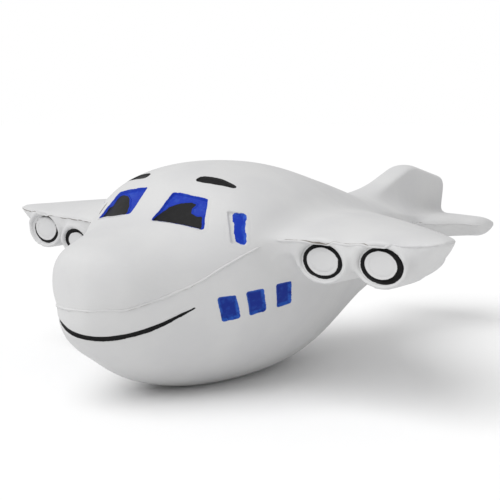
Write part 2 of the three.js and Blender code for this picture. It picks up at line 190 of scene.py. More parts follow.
def round_sin(angle, fullness):
    return np.sign(np.sin(angle)) * np.abs(np.sin(angle)) ** (2 / fullness)


def level_set(rings):
    """The distance field of the closed form through rings of points, on the lattice."""
    rings = np.asarray(rings, np.float32)
    count, sides = rings.shape[:2]
    middles = rings[[0, -1]].mean(axis=1)
    points = np.vstack([rings.reshape(-1, 3), middles]).astype(np.float32)
    ring, side = np.meshgrid(np.arange(count - 1), np.arange(sides), indexing="ij")
    a = ring * sides + side
    b = ring * sides + (side + 1) % sides
    quads = np.stack([a, b, b + sides, a + sides], axis=-1).reshape(-1, 4)
    side = np.arange(sides)
    following = (side + 1) % sides
    last = (count - 1) * sides
    start_cap = np.stack([following, side, np.full(sides, count * sides)], axis=-1)
    end_cap = np.stack([last + side, last + following, np.full(sides, count * sides + 1)], axis=-1)
    grid = openvdb.FloatGrid.createLevelSetFromPolygons(
        points,
        triangles=np.vstack([start_cap, end_cap]).astype(np.uint32),
        quads=quads.astype(np.uint32),
        transform=openvdb.createLinearTransform(voxelSize=VOXEL),
        exBandWidth=BAND,
        inBandWidth=BAND,
    )
    field = np.empty(SHAPE, np.float32)
    grid.copyToArray(field, ijk=tuple(int(i) for i in FIRST))
    return field


def joined(first, second, fillet):
    """The union of two fields, with a soft fillet where they meet."""
    overlap = np.maximum(fillet - np.abs(first - second), 0)
    return np.minimum(first, second) - overlap**2 / (4 * fillet)


def cut(body, tool, softness):
    """The first field less the second, with the new edge softened."""
    return -joined(-body, tool, softness)


def fuselage_rings(count=150, half=80):
    """Rings round the fuselage: the upper half's arc, then the lower half's."""
    rings = []
    for y, top, widest, rim, bottom, half_width in read_stations(FUSELAGE_STATIONS, count):
        rise = top - widest
        rim_angle = math.asin((abs(rim - widest) / rise) ** (UPPER_FULLNESS / 2))
        start = math.copysign(rim_angle, rim - widest)
        reach = half_width / round_cos(start, UPPER_FULLNESS)
        upper = start + (math.pi - 2 * start) * np.arange(half) / half
        lower = math.pi * np.arange(half) / half
        upper_x = reach * round_cos(upper, UPPER_FULLNESS)
        upper_z = widest + rise * round_sin(upper, UPPER_FULLNESS)
        lower_x = -half_width * round_cos(lower, LOWER_FULLNESS)
        lower_z = rim - (rim - bottom) * round_sin(lower, LOWER_FULLNESS)
        x = np.concatenate([upper_x, lower_x])
        z = np.concatenate([upper_z, lower_z])
        rings.append(np.stack([x, np.full_like(x, y), z], axis=-1))
    return rings


def wing_rings(stations, count=60, steps=48):
    """Lens sections that share a sharp rim at the leading edge."""
    rings = []
    share = np.linspace(0, 1, steps + 1)
    swell = np.sin(math.pi * share**WING_SWELL_SKEW).clip(0)
    for x, front, back, rim, rise, depth in read_stations(stations, count, lambda t: np.sin(math.pi / 2 * t)):
        y = front + (back - front) * share
        upper = rim + rise * swell**UPPER_SWELL
        lower = rim - depth * swell**LOWER_SWELL
        y = np.concatenate([y, y[-2:0:-1]])
        z = np.concatenate([upper, lower[-2:0:-1]])
        rings.append(np.stack([np.full_like(y, x), y, z], axis=-1))
    return rings


def rounded_outline(corners, radius, steps=8):
    """A closed outline with each corner replaced by a curve."""
    corners = np.array(corners)
    points = []
    for index, corner in enumerate(corners):
        before, after = corners[index - 1], corners[(index + 1) % len(corners)]
        start = corner + unit(before - corner) * radius
        end = corner + unit(after - corner) * radius
        for t in np.linspace(0, 1, steps):
            points.append((1 - t) ** 2 * start + 2 * t * (1 - t) * corner + t**2 * end)
    return np.array(points)


def fin_rings(count=24):
    outline = rounded_outline(FIN_CORNERS, FIN_CORNER_RADIUS)
    middle = outline.mean(axis=0)
    rings = []
    for angle in np.linspace(0, math.pi, count):
        scale = 1 - FIN_FACE_SHRINK * (1 - math.sin(angle))
        drawn = middle + (outline - middle) * scale
        x = np.full(len(drawn), -FIN_HALF_THICKNESS * math.cos(angle))
        rings.append(np.column_stack([x, drawn]))
    return rings


def skin_axes(heading, above, side=1):
    """Three axes at a place on the skin: backwards along it, up it, and out of it."""
    heading, above = math.radians(heading), math.radians(above)
    level = math.cos(above)
    outward = np.array([math.sin(heading) * level, -math.cos(heading) * level, math.sin(above)])
    across = np.array([math.cos(heading), math.sin(heading), 0])
    up = np.cross(outward, across)
    return np.array([across, up, outward]) * [side, 1, 1]


def nacelle_rings(centre, size, count=24, sides=48):
    """The body starts at the drooping disc, turns level as it goes back and closes in a round end."""
    angle = np.linspace(0, 2 * math.pi, sides, endpoint=False)
    rings = []
    for share in np.sin(math.pi / 2 * np.linspace(0, NACELLE_END_SHARE, count)):
        radius = (RING_RADIUS * size + NACELLE_WALL) * (1 - share**NACELLE_ROUNDING) ** 0.5
        along = share * NACELLE_LENGTH
        place = np.array(centre) + [0, along, 0]
        across, up, _ = skin_axes(0, -NACELLE_DROOP * max(1 - NACELLE_LEVEL_OFF * share, 0))
        wide = NACELLE_OVAL * np.cos(angle)
        rings.append(place + radius * (np.outer(wide, across) + np.outer(np.sin(angle), up)))
    return rings


WING_FILLET = 3.0
FIN_FILLETS = (6.5, 1.2)  # ahead of the first place along the fin, and behind the second
FIN_FILLET_PLACES = (36.0, 58.0)
TAIL_FILLET = 2.0
NACELLE_FILLET = 1.4
DISC_MARGIN = 0.6  # how far a disc reaches past the middle of its ring
DISC_REACH = 9.0
DISC_BACK = 6.0  # how far back the disc's own solid goes
DISC_AHEAD = 4.0  # how far ahead of the disc anything is cut away
DISC_AHEAD_MARGIN = 0.2
DISC_FILLET = 2.4
DISC_EDGE = 0.8

skin = level_set(fuselage_rings())
half_wing = level_set(wing_rings(WING_STATIONS))
wings = np.minimum(half_wing, half_wing[::-1])
for nacelle in NACELLES.values():
    wings = joined(wings, level_set(nacelle_rings(*nacelle)), NACELLE_FILLET)
half_tail = level_set(wing_rings(TAILPLANE_STATIONS))
lengthwise = ((FIRST[1] + np.arange(SHAPE[1])) * VOXEL).astype(np.float32)[:, None]
fin_fillet = np.interp(lengthwise, FIN_FILLET_PLACES, FIN_FILLETS).astype(np.float32)
skin = joined(skin, level_set(fin_rings()), fin_fillet)
skin = joined(skin, wings, WING_FILLET)
skin = joined(skin, np.minimum(half_tail, half_tail[::-1]), TAIL_FILLET)


def lattice_near(centre, reach):
    """The part of the lattice within reach of a point, as slices and as points."""
    low = np.clip(np.floor((np.array(centre) - reach) / VOXEL).astype(int) - FIRST, 0, np.array(SHAPE) - 1)
    high = np.clip(np.ceil((np.array(centre) + reach) / VOXEL).astype(int) - FIRST + 1, 1, np.array(SHAPE))
    where = tuple(slice(a, b) for a, b in zip(low, high))
    axes = [(FIRST[k] + np.arange(low[k], high[k])) * VOXEL for k in range(3)]
    return where, np.stack(np.meshgrid(*axes, indexing="ij"), axis=-1)


def flat_disc(centre, size):
    """Squares off the front of a nacelle as a flat face, a little proud of the wing round it."""
    where, points = lattice_near(centre, DISC_REACH)
    u, v, w = np.moveaxis((points - centre) @ skin_axes(0, -NACELLE_DROOP).T, -1, 0)
    edge = np.hypot(u / NACELLE_OVAL, v) - RING_RADIUS * size - DISC_MARGIN
    plug = np.maximum(np.maximum(edge, w), -w - DISC_BACK)
    ahead = np.maximum(np.maximum(edge + DISC_AHEAD_MARGIN, -w), w - DISC_AHEAD)
    made = joined(skin[where], plug.astype(np.float32), DISC_FILLET)
    skin[where] = cut(made, ahead.astype(np.float32), DISC_EDGE)


for nacelle in NACELLES.values():
    flat_disc(*nacelle)

# The belly is flat where it stands.
heights = (FIRST[2] + np.arange(SHAPE[2])) * VOXEL
skin = np.maximum(skin, -heights.astype(np.float32))


def between_nodes(table, base, part, wrap=None):
    """Values read from a table of nodes at whole places plus parts of a step, which may wrap round."""
    total = 0
    for corner in itertools.product((0, 1), repeat=3):
        weight = np.prod(np.where(corner, part, 1 - part), axis=-1)
        node = base + corner if wrap is None else (base + corner) % wrap
        i, j, k = np.moveaxis(node, -1, 0)
        total = total + weight * table[i, j, k]
    return total


INSIDE_LAST_NODE = 1.001  # keeps the node after a point on the lattice


def sampled(field, points):
    """The field's values at points, in millimetres, read between the lattice's nodes."""
    cell = np.clip(points / VOXEL - FIRST, 0, np.array(SHAPE) - INSIDE_LAST_NODE)
    base = cell.astype(int)
    return between_nodes(field, base, cell - base)


def slope(field, points, reach=VOXEL):
    """The outward direction of the field at points."""
    steps = np.eye(3) * reach
    return unit(np.stack([sampled(field, points + s) - sampled(field, points - s) for s in steps], axis=-1))


STEP_SHARE = 0.9  # how much of the distance to a surface one step covers, so that it never overshoots


def dropped(points, direction, steps=60):
    """Points moved along a direction until they meet the skin."""
    points = np.array(points, float)
    for _ in range(steps):
        points = points + sampled(skin, points)[..., None] * direction * STEP_SHARE
    return points


RIPPLE_NODES = 24


def ripple(points, size, seed):
    """Smooth random values from -1 to 1 that change over about size millimetres."""
    table = np.random.default_rng(seed).uniform(-1, 1, (RIPPLE_NODES,) * 3)
    cell = np.asarray(points) / size
    base = np.floor(cell).astype(int)
    part = cell - base
    return between_nodes(table, base, part * part * (3 - 2 * part), RIPPLE_NODES)


def smooth_step(value, low, high):
    share = np.clip((value - low) / (high - low), 0, 1)
    return share * share * (3 - 2 * share)


def drawn_in(corners, distance):
    """The corners of an outline listed clockwise, each edge moved inwards by the distance."""
    corners = np.array(corners)
    edges = unit(np.roll(corners, -1, axis=0) - corners)
    inward = np.stack([edges[:, 1], -edges[:, 0]], axis=-1)
    earlier = np.roll(inward, 1, axis=0)
    reach = distance / (1 + (inward * earlier).sum(axis=-1, keepdims=True))
    return corners + (inward + earlier) * reach


FAR = 1e9
NEARLY_LEVEL = 1e-9  # the least rise of an edge that a crossing is worked out for


def outline_distance(u, v, corners, radius=CORNER_RADIUS):
    """Distance outside an outline with rounded corners, negative inside it."""
    corners = drawn_in(corners, radius)
    points = np.stack([u, v], axis=-1)
    nearest = np.full(u.shape, FAR)
    inside = np.zeros(u.shape, bool)
    for start, end in zip(corners, np.roll(corners, -1, axis=0)):
        edge = end - start
        offset = points - start
        share = np.clip(offset @ edge / (edge @ edge), 0, 1)[..., None]
        nearest = np.minimum(nearest, np.linalg.norm(offset - share * edge, axis=-1))
        crosses = (start[1] > v) != (end[1] > v)
        rise = NEARLY_LEVEL if abs(edge[1]) < NEARLY_LEVEL else edge[1]
        inside ^= crosses & (u < start[0] + (v - start[1]) * edge[0] / rise)
    return np.where(inside, -nearest, nearest) - radius


# ---- Recesses cut in the body under the painted films ----

PANEL_DEPTH = 0.5
FILM_THICKNESS = 0.35
HOLE_MARGIN = 0.1  # how much wider a hollow is than its film
HOLLOW_BELOW_FILM = 0.5
HOLLOW_EDGE = 0.2
PANEL_REACH = 9.0

body = skin.copy()


def hollow(centre, axes, distance, depth, reach=PANEL_REACH):
    """Cuts the body away to a depth where distance(u, v) is below zero in the plane of the axes."""
    where, points = lattice_near(centre, reach)
    u, v, w = np.moveaxis((points - centre) @ axes.T, -1, 0)
    tool = np.maximum(distance(u, v), -(skin[where] + depth))
    tool = np.maximum(tool, np.abs(w) - reach / 2)
    body[where] = cut(body[where], tool.astype(np.float32), HOLLOW_EDGE)


def groove(centre, half_width, depth):
    """Cuts one short stretch of a groove, as a ball that only goes to a depth under the skin."""
    where, points = lattice_near(centre, 3 * half_width)
    tool = np.maximum(np.linalg.norm(points - centre, axis=-1) - half_width, -(skin[where] + depth))
    body[where] = np.maximum(body[where], -tool.astype(np.float32))


# ---- Meshes ----

def new_piece(name, points, faces, material, slot, **attributes):
    """A smooth mesh that rides on the body, with a number at each point for every named attribute."""
    mesh = bpy.data.meshes.new(name)
    mesh.from_pydata((np.asarray(points) * MM).tolist(), [], [list(map(int, f)) for f in faces])
    mesh.shade_smooth()
    for key, values in attributes.items():
        layer = mesh.attributes.new(key, "FLOAT", "POINT")
        layer.data.foreach_set("value", np.asarray(values, np.float32).ravel())
    mesh.materials.append(material)
    piece = bpy.data.objects.new(name, mesh)
    bpy.context.scene.collection.objects.link(piece)
    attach(piece, "root")
    return piece


SHARP_EDGE = math.radians(50)


def slab(name, top, inward, material, slot, keep=None, wrap=False, **attributes):
    """A closed sheet under a grid of points, FILM_THICKNESS deep."""
    rows, columns = top.shape[:2]
    index = np.arange(rows * columns).reshape(rows, columns)
    if wrap:
        index = np.vstack([index, index[:1]])
    quads = np.stack([index[:-1, :-1], index[1:, :-1], index[1:, 1:], index[:-1, 1:]], axis=-1).reshape(-1, 4)
    if keep is not None:
        quads = quads[keep.ravel()[quads].all(axis=1)]
    below = rows * columns
    edges = {(int(f[k]), int(f[(k + 1) % 4])) for f in quads for k in range(4)}
    rim = [(b, a, a + below, b + below) for a, b in edges if (b, a) not in edges]
    faces = [tuple(f) for f in quads] + [tuple(f[::-1] + below) for f in quads] + sorted(rim)
    points = np.vstack([top.reshape(-1, 3), (top + inward * FILM_THICKNESS).reshape(-1, 3)])
    used = np.unique([i for f in faces for i in f])
    renumber = np.full(len(points), -1)
    renumber[used] = np.arange(len(used))
    doubled = {key: np.tile(np.asarray(value).ravel(), 2)[used] for key, value in attributes.items()}
    faces = [tuple(renumber[list(f)]) for f in faces]
    piece = new_piece(name, points[used], faces, material, slot, **doubled)
    piece.data.set_sharp_from_angle(angle=SHARP_EDGE)
    return piece


# ---- Materials ----

FOAM_COLOUR = (0.635, 0.635, 0.635, 1)
FOAM_SHADE = (0.605, 0.605, 0.61, 1)
BLUE = (0.008, 0.036, 0.40, 1)
# The thin paint's blues: for blotches where the paint is thin, and also for the painted highlight along a
# window's bevel.
THIN_BLUE_AND_HIGHLIGHT = (0.045, 0.14, 0.58, 1)
PALE_BLUE_AND_HIGHLIGHT = (0.03, 0.115, 0.5, 1)
DARK_BLUE = (0.007, 0.026, 0.25, 1)
BLACK = (0.007, 0.007, 0.0075, 1)
BLACK_THIN = (0.02, 0.02, 0.022, 1)
# Dark brown for the underside of the parting line's bead: partly cracks in the flash, partly painted shadow
# under the bead.
CRACK_AND_SHADOW = (0.16, 0.14, 0.12, 1)

# How fine each pattern is, as noise cells to the millimetre, and how deep its bumps are in millimetres.
CLOUD_FINENESS = 0.09
PORE_FINENESS = 1.7
SWELL_FINENESS = 0.32
SWELL_DEPTH = 0.12
GRAIN_FINENESS = 2.6
GRAIN_DEPTH = 0.035
SHEEN_FINENESS = 0.5
SPECKLE_FINENESS = 3.2
SPECKLE_SHARE = 0.45
MOTTLE_FINENESS = 0.8
MOTTLE_SHARE = 0.35
# Noise that breaks up the painted highlight along a window's bevel.
HIGHLIGHT_FINENESS = 0.9
FOAM_ROUGHNESS = (0.56, 0.68)
BARE_ROUGHNESS = 0.62  # where the paint has run out
FOAM_SPECULAR = 0.3
PAINT_SPECULAR = 0.12


class Nodes:
    """Short calls for building one material's node tree."""

    def __init__(self, name):
        self.material = bpy.data.materials.new(name)
        self.material.use_nodes = True
        self.tree = self.material.node_tree
        self.shader = self.tree.nodes["Principled BSDF"]
        place = self.add("ShaderNodeTexCoord")
        scale = self.add("ShaderNodeVectorMath", operation="SCALE")
        scale.inputs["Scale"].default_value = 1 / MM
        self.link(place.outputs["Object"], scale.inputs[0])
        self.place = scale.outputs[0]

    def add(self, kind, **settings):
        node = self.tree.nodes.new(kind)
        for key, value in settings.items():
            setattr(node, key, value)
        return node

    def link(self, start, end):
        self.tree.links.new(start, end)

    def noise(self, per_mm, detail=3.0, rough=0.5):
        node = self.add("ShaderNodeTexNoise")
        node.inputs["Scale"].default_value = per_mm
        node.inputs["Detail"].default_value = detail
        node.inputs["Roughness"].default_value = rough
        self.link(self.place, node.inputs["Vector"])
        return node.outputs["Fac"]

    def spread(self, value, low, high, to_low=0.0, to_high=1.0):
        node = self.add("ShaderNodeMapRange", clamp=True)
        node.interpolation_type = "SMOOTHSTEP"
        for key, number in zip(("From Min", "From Max", "To Min", "To Max"), (low, high, to_low, to_high)):
            node.inputs[key].default_value = number
        self.link(value, node.inputs["Value"])
        return node.outputs["Result"]

    def math(self, operation, first, second):
        node = self.add("ShaderNodeMath", operation=operation)
        for socket, value in zip(node.inputs, (first, second)):
            if isinstance(value, (int, float)):
                socket.default_value = value
            else:
                self.link(value, socket)
        return node.outputs[0]

    def mix(self, share, first, second):
        node = self.add("ShaderNodeMix", data_type="RGBA")
        self.link(share, node.inputs["Factor"])
        for name, value in (("A", first), ("B", second)):
            socket = next(s for s in node.inputs if s.name == name and s.type == "RGBA")
            if isinstance(value, tuple):
                socket.default_value = value
            else:
                self.link(value, socket)
        return next(s for s in node.outputs if s.type == "RGBA")

    def attribute(self, name):
        return self.add("ShaderNodeAttribute", attribute_name=name).outputs["Fac"]

    def bump(self, height, distance_mm, strength=1.0, under=None):
        node = self.add("ShaderNodeBump")
        node.inputs["Strength"].default_value = strength
        node.inputs["Distance"].default_value = distance_mm * MM
        self.link(height, node.inputs["Height"])
        if under is not None:
            self.link(under, node.inputs["Normal"])
        return node.outputs["Normal"]


def foam_look(nodes):
    """The colour and normal of painted foam: matte white with faint clouding, pores and a fine grain."""
    cloud = nodes.spread(nodes.noise(CLOUD_FINENESS, 4), 0.35, 0.7)
    colour = nodes.mix(cloud, FOAM_SHADE, FOAM_COLOUR)
    between_pores = nodes.spread(nodes.noise(PORE_FINENESS, 2, 0.6), 0.24, 0.31)
    pores = nodes.math("SUBTRACT", 1.0, between_pores)
    colour = nodes.mix(nodes.math("MULTIPLY", pores, 0.5), colour, FOAM_SHADE)
    grain = nodes.bump(nodes.noise(GRAIN_FINENESS, 3, 0.6), GRAIN_DEPTH, 0.5)
    swell = nodes.bump(nodes.noise(SWELL_FINENESS, 2), SWELL_DEPTH, 0.35, grain)
    return colour, swell


def foam_material(name, cracked=False):
    nodes = Nodes(name)
    colour, normal = foam_look(nodes)
    if cracked:
        # Darker where the ridge's dark attribute is high: cracks in the flash, and painted shadow on the
        # bead's underside.
        broken = nodes.attribute("crack")
        colour = nodes.mix(broken, colour, CRACK_AND_SHADOW)
    nodes.link(colour, nodes.shader.inputs["Base Color"])
    nodes.link(normal, nodes.shader.inputs["Normal"])
    sheen = nodes.spread(nodes.noise(SHEEN_FINENESS, 3), 0.3, 0.7, *FOAM_ROUGHNESS)
    nodes.link(sheen, nodes.shader.inputs["Roughness"])
    nodes.shader.inputs["Specular IOR Level"].default_value = FOAM_SPECULAR
    return nodes.material


def paint_material(name, colour, thin, roughness, under=None):
    """Paint over foam: full where the paint attribute is high, broken and thin where it runs out.

    Where the under attribute is high, the paint lies over another colour and not over bare foam.
    """
    nodes = Nodes(name)
    foam, normal = foam_look(nodes)
    if under:
        foam = nodes.mix(nodes.spread(nodes.attribute("under"), 0.4, 0.6), foam, under)
    speckle = nodes.math("SUBTRACT", nodes.noise(SPECKLE_FINENESS, 3, 0.65), 0.5)
    speckle = nodes.math("MULTIPLY", speckle, SPECKLE_SHARE)
    cover = nodes.spread(nodes.math("ADD", nodes.attribute("paint"), speckle), 0.36, 0.62)
    mottle = nodes.spread(nodes.noise(MOTTLE_FINENESS, 4, 0.6), 0.45, 0.75)
    mottle = nodes.math("MULTIPLY", mottle, MOTTLE_SHARE)
    # The edge attribute makes a lighter band inside a window's outline, in the thin paint's colour: a painted
    # highlight where the recess's bevel catches the light, broken up by noise.
    patchy = nodes.spread(nodes.noise(HIGHLIGHT_FINENESS, 3, 0.6), 0.3, 0.6)
    edge = nodes.math("MULTIPLY", nodes.attribute("edge"), patchy)
    tone_and_highlight = nodes.mix(nodes.math("MAXIMUM", mottle, edge), colour, thin)
    nodes.link(nodes.mix(cover, foam, tone_and_highlight), nodes.shader.inputs["Base Color"])
    nodes.link(normal, nodes.shader.inputs["Normal"])
    nodes.link(nodes.spread(cover, 0.2, 0.9, BARE_ROUGHNESS, roughness), nodes.shader.inputs["Roughness"])
    nodes.shader.inputs["Specular IOR Level"].default_value = PAINT_SPECULAR
    return nodes.material


white_foam = foam_material("white_foam")
ridge_foam = foam_material("ridge_foam", cracked=True)
blue_paint = paint_material("blue_paint", BLUE, THIN_BLUE_AND_HIGHLIGHT, roughness=0.42)
dark_blue_paint = paint_material("dark_blue_paint", DARK_BLUE, PALE_BLUE_AND_HIGHLIGHT, roughness=0.42)
black_paint = paint_material("black_paint", BLACK, BLACK_THIN, roughness=0.45)
pupil_paint = paint_material("pupil_paint", BLACK, BLACK_THIN, roughness=0.42, under=BLUE)

# ---- Painted films ----

PATCH_STEP = 0.17
PATCH_BORDER = 1.1  # how far a film goes on past its outline, unpainted
PUPIL_BORDER = 0.5
PUPIL_LIFT = 0.07  # above the windscreen's film
PUPIL_CORNER_RADIUS = 0.3
PUPIL_EDGE = 0.2
BEVEL = 0.4  # how wide a recess's sloping wall is
LIFT = 0.014  # of a film above the skin, beside its recess
TUCK = 0.032  # from there down to the film's rim
PAINT_EDGE = 0.22  # half the width over which a window's paint runs out


def patch_grid(corners, border=PATCH_BORDER):
    corners = np.array(corners)
    low, high = corners.min(axis=0) - border, corners.max(axis=0) + border
    spans = [np.linspace(a, b, int((b - a) / PATCH_STEP) + 1) for a, b in zip(low, high)]
    return np.meshgrid(*spans, indexing="ij")


def lift_over(distance, border=PATCH_BORDER):
    """How far a film stands off the skin beside its recess, tucking just under it at the film's edge."""
    return LIFT - TUCK * smooth_step(distance, 0.3 * border, 0.95 * border)


def sunk_share(distance):
    """How far down the recess's wall a place is: 0 on the skin, 1 on the floor."""
    return smooth_step(-distance, 0.0, BEVEL)


def panel_place(panel, side):
    centre, heading, above = panel
    return np.array(centre) * [side, 1, 1], skin_axes(heading, above, side)


def on_skin(centre, axes, u, v, reach=5.0):
    start = centre + u[..., None] * axes[0] + v[..., None] * axes[1] + reach * axes[2]
    return dropped(start, -axes[2])


def facing(grid_points, outward):
    """True when the grid's own winding faces outwards."""
    first = grid_points[1, 0] - grid_points[0, 0]
    second = grid_points[0, 1] - grid_points[0, 0]
    return np.cross(first, second) @ outward > 0


def wandering(points, coarse, fine, seed):
    """How far the edge of the paint strays: coarse and fine are each a size and an amount, in millimetres."""
    (coarse_size, coarse_amount), (fine_size, fine_amount) = coarse, fine
    return (
        coarse_amount * ripple(points, coarse_size, seed)
        + fine_amount * ripple(points, fine_size, seed + 1)
    )


def window_wander(points, ragged, seed):
    return wandering(points, (1.3, ragged), (0.5, 0.6 * ragged), seed)


WINDOW_RAGGED = 0.09
# The lighter band inside a window's outline is a painted highlight on its bevel.
PAINTED_HIGHLIGHT_FADE = (0.25, 0.75)  # how far inside its outline a window's lighter edge begins and ends to fade


def paint_panel(
    name, panel, corners, side, material, slot,
    depth=PANEL_DEPTH, ragged=WINDOW_RAGGED, painted=None, painted_highlight=0.0, seed=1,
):
    """A film on the recess's floor and up its walls, with a ragged edge, lighter round its rim by a share:
    a painted highlight on the bevel.
    """
    centre, axes = panel_place(panel, side)
    u, v = patch_grid(corners)
    distance = outline_distance(u, v, corners)
    top = on_skin(centre, axes, u, v)
    sink = sunk_share(distance) * depth - lift_over(distance)
    top = top - sink[..., None] * axes[2]
    brushed = outline_distance(u, v, painted or corners)
    paint = smooth_step(-brushed + window_wander(top, ragged, seed), -PAINT_EDGE, PAINT_EDGE)
    # A painted highlight along the inside of the outline, where the recess's bevel catches the light.
    edge = painted_highlight * (1 - smooth_step(-distance, *PAINTED_HIGHLIGHT_FADE))
    keep = distance < PATCH_BORDER

    def recess(a, b):
        return outline_distance(a, b, corners) - HOLE_MARGIN

    hollow(centre, axes, recess, depth + HOLLOW_BELOW_FILM)
    if not facing(top, axes[2]):
        top, paint, edge, keep = (a[::-1] for a in (top, paint, edge, keep))
    piece = slab(f"{name}_paint", top, -axes[2], material, slot, keep=keep, paint=paint, edge=edge)
    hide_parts(name)


def paint_pupil(name, corners, pupil, side):
    """The black part of the eye, over the blue film."""
    centre, axes = panel_place(WINDSCREEN, side)
    u, v = patch_grid(pupil, PUPIL_BORDER)
    window = outline_distance(u, v, corners)
    distance = outline_distance(u, v, pupil, PUPIL_CORNER_RADIUS)
    top = on_skin(centre, axes, u, v)
    sink = sunk_share(window) * PANEL_DEPTH - LIFT - PUPIL_LIFT
    top = top - sink[..., None] * axes[2]
    wander = wandering(top, (1.0, 0.1), (0.4, 0.06), seed=11)
    paint = smooth_step(-distance + wander, -PUPIL_EDGE, PUPIL_EDGE)
    under = smooth_step(-window + window_wander(top, WINDOW_RAGGED, seed=1), -PAINT_EDGE, PAINT_EDGE)
    keep = (distance < 0.9 * PUPIL_BORDER) & (window < PUPIL_BORDER)
    if not facing(top, axes[2]):
        top, paint, under, keep = (a[::-1] for a in (top, paint, under, keep))
    attributes = {"paint": paint, "under": under}
    piece = slab(f"{name}_paint", top, -axes[2], pupil_paint, "black_paint", keep=keep, **attributes)
    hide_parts(name)


RING_SINK = 0.3
RING_HOLLOW = 0.8
RING_HOLLOW_MARGIN = 0.25
RING_REACH = 6.5
RING_EDGE = 0.2
RING_STEPS = 220
RING_ROWS = 24
RING_BORDER_INSIDE = 0.95
RING_BORDER_OUTSIDE = 0.66

# How heavily each ring is painted: the mean, how much it varies round the ring, and where it is heaviest, in
# degrees from the toy's left towards the top.
RING_PAINT = {
    ("left", "outer"): (0.84, 0.20, -15),
    ("left", "inner"): (0.68, 0.06, 60),
    ("right", "outer"): (0.42, 0.22, -60),
    ("right", "inner"): (0.60, 0.35, 150),
}


def paint_ring(name, centre, size, mean, swing, heaviest):
    """A ring of black round an intake disc, heavier on one side than the other."""
    axes = skin_axes(0, -NACELLE_DROOP)
    middle = RING_RADIUS * size
    angles = np.linspace(0, 2 * math.pi, RING_STEPS, endpoint=False)
    radii = np.linspace(middle - RING_BORDER_INSIDE, middle + RING_BORDER_OUTSIDE, RING_ROWS)
    angle, radius = np.meshgrid(angles, radii, indexing="ij")
    u, v = NACELLE_OVAL * radius * np.cos(angle), radius * np.sin(angle)
    top = centre + u[..., None] * axes[0] + v[..., None] * axes[1]
    band = np.abs(radius - middle) - RING_HALF_WIDTH
    border = np.where(radius < middle, RING_BORDER_INSIDE, RING_BORDER_OUTSIDE) - RING_HALF_WIDTH
    sink = smooth_step(-band, -RING_EDGE, RING_EDGE) * RING_SINK - lift_over(band, border)
    top = top - sink[..., None] * axes[2]
    # Where the paint is heavy the ring is wider, and where it is very light the foam shows.
    heavy = mean + swing * np.cos(angle - math.radians(heaviest))
    wander = wandering(top, (1.8, 0.07), (0.5, 0.03), seed=21)
    paint = smooth_step(-band + 0.5 * (heavy - 0.5) + wander, -RING_EDGE, RING_EDGE)
    paint = paint * smooth_step(heavy + wander, 0.05, 0.3)

    def ring_groove(a, b):
        return np.abs(np.hypot(a / NACELLE_OVAL, b) - middle) - RING_HALF_WIDTH - RING_HOLLOW_MARGIN

    hollow(centre, axes, ring_groove, RING_HOLLOW, RING_REACH)
    if not facing(top, axes[2]):
        top, paint = top[:, ::-1], paint[:, ::-1]
    piece = slab(f"{name}_paint", top, -axes[2], black_paint, "black_paint", wrap=True, paint=paint)
    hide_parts(name)


SMILE_SINK = 0.35
SMILE_HOLLOW = 0.75
SMILE_HOLLOW_MARGIN = 0.2
SMILE_BORDER = 1.0
SMILE_REACH = 1.5  # of the film, to each side of the smile's middle
SMILE_PAINT_EDGE = 0.16
SMILE_SINK_EDGE = 0.25
SMILE_HOLLOW_START = 1.6  # from each end, along the smile
SMILE_TUCKED_END = 1.2
SMILE_FULL_DEPTH = 3.5
SMILE_ROWS = 300
SMILE_COLUMNS = 35
AHEAD_OF_NOSE = -72.0
AHEAD = np.array([0, -1.0, 0])


def walked_along(line):
    """How far along a line each of its points is."""
    gaps = np.linalg.norm(np.diff(line, axis=0), axis=1)
    return np.concatenate([[0], np.cumsum(gaps)])


def paint_smile():
    """The smile: a groove round the jaw, widest in the middle and pointed at its ends."""
    middle = read_stations(SMILE_POINTS, SMILE_ROWS)
    along = unit(np.gradient(middle, axis=0))
    across = np.stack([-along[:, 1], along[:, 0]], axis=-1)
    share = np.linspace(0, 1, len(middle))[:, None]
    offset = np.linspace(-SMILE_REACH, SMILE_REACH, SMILE_COLUMNS)[None, :]
    flat = middle[:, None, :] + across[:, None, :] * offset[..., None]
    start = np.stack([flat[..., 0], np.full(flat.shape[:2], AHEAD_OF_NOSE), flat[..., 1]], axis=-1)
    top = dropped(start, -AHEAD)
    # Half the painted width: full in the middle, running out to nothing short of the ends.
    arch = np.sin(math.pi * share)
    half = SMILE_WIDTH * (0.5 * arch.clip(0) ** 0.6 - 0.12 * (1 - arch) ** 8)
    wander = wandering(top, (1.6, 0.05), (0.5, 0.03), seed=31)
    band = np.abs(offset) - half
    paint = smooth_step(-band + wander, -SMILE_PAINT_EDGE, SMILE_PAINT_EDGE)
    outward = slope(skin, top)
    centres = top[:, SMILE_COLUMNS // 2]
    walked = walked_along(centres)
    from_end = np.minimum(walked, walked[-1] - walked)[:, None]
    for centre in centres[from_end[:, 0] > SMILE_HOLLOW_START][::2]:
        groove(centre, SMILE_WIDTH / 2 + SMILE_HOLLOW_MARGIN, SMILE_HOLLOW)
    deep = smooth_step(from_end, SMILE_TUCKED_END, SMILE_FULL_DEPTH)
    lift = lift_over(np.maximum(band, SMILE_TUCKED_END - from_end), SMILE_BORDER)
    sink = smooth_step(-band, -SMILE_SINK_EDGE, SMILE_SINK_EDGE) * SMILE_SINK * deep - lift
    top = top - sink[..., None] * outward
    if not facing(top, AHEAD):
        top, paint, outward = top[:, ::-1], paint[:, ::-1], outward[:, ::-1]
    piece = slab("smile_line_paint", top, -outward, black_paint, "black_paint", paint=paint)
    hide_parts("smile_line")


EYEBROW_DEPTH = 0.25
EYEBROW_RAGGED = 0.06
SIDE_WINDOW_RAGGED = 0.25

